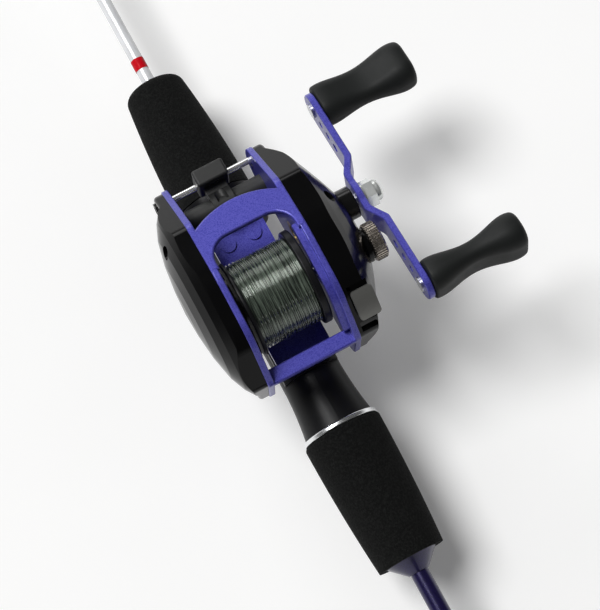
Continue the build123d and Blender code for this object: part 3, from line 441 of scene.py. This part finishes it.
brass = surface("cut_brass", BRASS, 0.30, metallic=1.0)
gloss(brass, noise(brass, BRASS_CLOUDS), 0.22, 0.40)
dress(brass, "drive_gear", "pinion", "shaft_bush", "worm_pawl")

acetal = surface("pale_acetal", ACETAL, 0.40)
tint(acetal, noise(acetal, ACETAL_CLOUDS), ACETAL_DARK, ACETAL_PALE)
dress(acetal, "wind_gear", "idler_gear", "worm_gear", "clutch_yoke")


# One-way clutch housing, tension knob and clutch lever
# The housing is glossy black, the tension knob is knurled metal with a dark bronze
# plating, and the thumb lever is pressed steel with a brushed face.

HOUSING_BLACK = (0.0030, 0.0030, 0.0032)
BRONZE = (0.440, 0.400, 0.355)
BRONZE_DARK = (0.330, 0.295, 0.255)
BRONZE_PALE = (0.560, 0.510, 0.455)
BRONZE_CLOUDS = 600
BRONZE_GRAINS = 2400
LEVER_GREY = (0.17, 0.17, 0.16)

housing = surface("housing_black", HOUSING_BLACK, 0.14)
gloss(housing, streak(housing, 60, 5000, 60), 0.10, 0.20)
dress(housing, "clutch_housing")

bronze = surface("dark_bronze", BRONZE, 0.24, metallic=1.0)
tint(bronze, noise(bronze, BRONZE_CLOUDS, detail=3), BRONZE_DARK, BRONZE_PALE)
gloss(bronze, noise(bronze, BRONZE_GRAINS), 0.16, 0.32)
dress(bronze, "tension_knob")

lever = surface("brushed_lever", LEVER_GREY, 0.36, metallic=0.5)
brushing = streak(lever, 3600, 90, 3600)
gloss(lever, brushing, 0.28, 0.50)
relief(lever, brushing, depth=0.00001, strength=0.4)
dress(lever, "clutch_lever")


# Crank nut, washer and knobs
# A zinc-plated lock nut holds the arm on its shaft. The knobs are soft black rubber,
# moulded over the posts, with a fine matte skin.

ZINC = (0.78, 0.80, 0.78)
ZINC_DARK = (0.74, 0.77, 0.75)
ZINC_PALE = (0.82, 0.84, 0.82)
ZINC_CLOUDS = 300
ZINC_GRAINS = 900
KNOB_BLACK = (0.0115, 0.0128, 0.0125)
KNOB_CLOUDS = 300
KNOB_GRAINS = 4200

zinc = surface("zinc_plate", ZINC, 0.26, metallic=0.7)
tint(zinc, noise(zinc, ZINC_CLOUDS), ZINC_DARK, ZINC_PALE)
gloss(zinc, noise(zinc, ZINC_GRAINS), 0.20, 0.30)
dress(zinc, "handle_nut", "handle_washer")

knob_rubber = surface("knob_rubber", KNOB_BLACK, 0.52, shine=0.2)
gloss(knob_rubber, noise(knob_rubber, KNOB_CLOUDS, detail=3), 0.44, 0.62)
relief(knob_rubber, noise(knob_rubber, KNOB_GRAINS), depth=0.00003, strength=0.4)
dress(knob_rubber, "front_knob", "rear_knob")


# Table
# The set lies on a wide, plain table with a pale matte top. A faint glow that only the
# eye and mirror-like surfaces meet brings the top up to the backdrop's white.

TABLE = (0.94, 0.94, 0.935)
TABLE_DARK = (0.930, 0.930, 0.925)
TABLE_PALE = (0.950, 0.950, 0.945)
TABLE_CLOUDS = 9
TABLE_HALF = 3.0
TABLE_MIDDLE = 0.23363
TABLE_GAP = 0.0002
TABLE_GLOW = 0.12


def shown(tree, strength):
    """A strength that camera, glossy and transmission rays meet, and diffuse rays don't."""
    nodes, links = tree.nodes, tree.links
    path = nodes.new("ShaderNodeLightPath")
    mirrored = nodes.new("ShaderNodeMath")
    mirrored.operation = "MAXIMUM"
    met = nodes.new("ShaderNodeMath")
    met.operation = "MAXIMUM"
    level = nodes.new("ShaderNodeMath")
    level.operation = "MULTIPLY"
    level.inputs[1].default_value = strength
    links.new(path.outputs["Is Glossy Ray"], mirrored.inputs[0])
    links.new(path.outputs["Is Transmission Ray"], mirrored.inputs[1])
    links.new(path.outputs["Is Camera Ray"], met.inputs[0])
    links.new(mirrored.outputs["Value"], met.inputs[1])
    links.new(met.outputs["Value"], level.inputs[0])
    return level.outputs["Value"]


bm = bmesh.new()
bmesh.ops.create_grid(bm, x_segments=1, y_segments=1, size=TABLE_HALF)
bmesh.ops.translate(bm, verts=bm.verts, vec=(TABLE_MIDDLE, 0, cad_low.z - TABLE_GAP))
table_mesh = bpy.data.meshes.new("table")
bm.to_mesh(table_mesh)
bm.free()
table = bpy.data.objects.new("table", table_mesh)
bpy.context.scene.collection.objects.link(table)

pale = surface("pale_table", TABLE, 0.60, shine=0.2)
tint(pale, noise(pale, TABLE_CLOUDS, detail=3), TABLE_DARK, TABLE_PALE)
table_shader = pale.node_tree.nodes["Principled BSDF"]
table_shader.inputs["Emission Color"].default_value = (1, 1, 1, 1)
pale.node_tree.links.new(shown(pale.node_tree, TABLE_GLOW), table_shader.inputs["Emission Strength"])
table.data.materials.append(pale)


# Light and backdrop
# Two broad, soft lamps light the set from the upper left of the picture: each has the side
# it shines from, its width in degrees and its strength. A dim sky fills the shadows, and a
# low pale backdrop stands all round.

LAMPS = [("overhead", (0.52, 0.54, 1.28), 27, 2.5), ("window", (1.37, 0.15, 0.63), 30, 0.7)]
SKY_FROM = (0.75, 0.35, -0.55)
SKY_DARK, SKY_BRIGHT = 0.09, 0.32
BACKDROP = 0.80
BACKDROP_TOP = 0.30

for lamp_name, lamp_from, lamp_width, lamp_strength in LAMPS:
    lamp_data = bpy.data.lights.new(lamp_name, "SUN")
    lamp_data.angle = radians(lamp_width)
    lamp_data.energy = lamp_strength
    lamp = bpy.data.objects.new(lamp_name, lamp_data)
    lamp.rotation_euler = Vector(lamp_from).to_track_quat("Z", "Y").to_euler()
    bpy.context.scene.collection.objects.link(lamp)

world = bpy.data.worlds.new("studio")
bpy.context.scene.world = world
world.use_nodes = True
sky, sky_links = world.node_tree.nodes, world.node_tree.links
direction = sky.new("ShaderNodeTexCoord")
facing = sky.new("ShaderNodeVectorMath")
facing.operation = "DOT_PRODUCT"
facing.inputs[1].default_value = SKY_FROM
fill = sky.new("ShaderNodeMapRange")
fill.inputs["To Min"].default_value = SKY_DARK
fill.inputs["To Max"].default_value = SKY_BRIGHT
height = sky.new("ShaderNodeSeparateXYZ")
backdrop = sky.new("ShaderNodeMapRange")
backdrop.inputs["From Max"].default_value = BACKDROP_TOP
backdrop.inputs["To Max"].default_value = 0
brightest = sky.new("ShaderNodeMath")
brightest.operation = "MAXIMUM"
sky_links.new(direction.outputs["Generated"], facing.inputs[0])
sky_links.new(facing.outputs["Value"], fill.inputs["Value"])
sky_links.new(direction.outputs["Generated"], height.inputs["Vector"])
sky_links.new(height.outputs["Z"], backdrop.inputs["Value"])
sky_links.new(shown(world.node_tree, BACKDROP), backdrop.inputs["To Min"])
sky_links.new(fill.outputs["Result"], brightest.inputs[0])
sky_links.new(backdrop.outputs["Result"], brightest.inputs[1])
sky_links.new(brightest.outputs["Value"], sky["Background"].inputs["Color"])


# Camera
# It looks down on the reel from behind and a little to the left of the rod, rolled so
# that the rod runs across the frame from the upper left.

CAMERA_AT = Vector((0.11603, 0.05641, 0.56907))
CAMERA_AIM = Vector((0.23363, -0.00472, 0.02800))
CAMERA_ROLL = radians(29.07)
CAMERA_LENS = 108.11

camera_data = bpy.data.cameras.new("camera")
camera_data.lens = CAMERA_LENS
camera = bpy.data.objects.new("camera", camera_data)
bpy.context.scene.collection.objects.link(camera)
back = (CAMERA_AT - CAMERA_AIM).normalized()
rod_up = (Vector((1, 0, 0)) - back * back.x).normalized()
rod_right = rod_up.cross(back)
up = cos(CAMERA_ROLL) * rod_up + sin(CAMERA_ROLL) * rod_right
right = cos(CAMERA_ROLL) * rod_right - sin(CAMERA_ROLL) * rod_up
camera.matrix_world = Matrix.Translation(CAMERA_AT) @ Matrix((right, up, back)).transposed().to_4x4()
bpy.context.scene.camera = camera
bpy.context.scene.view_settings.view_transform = "Standard"
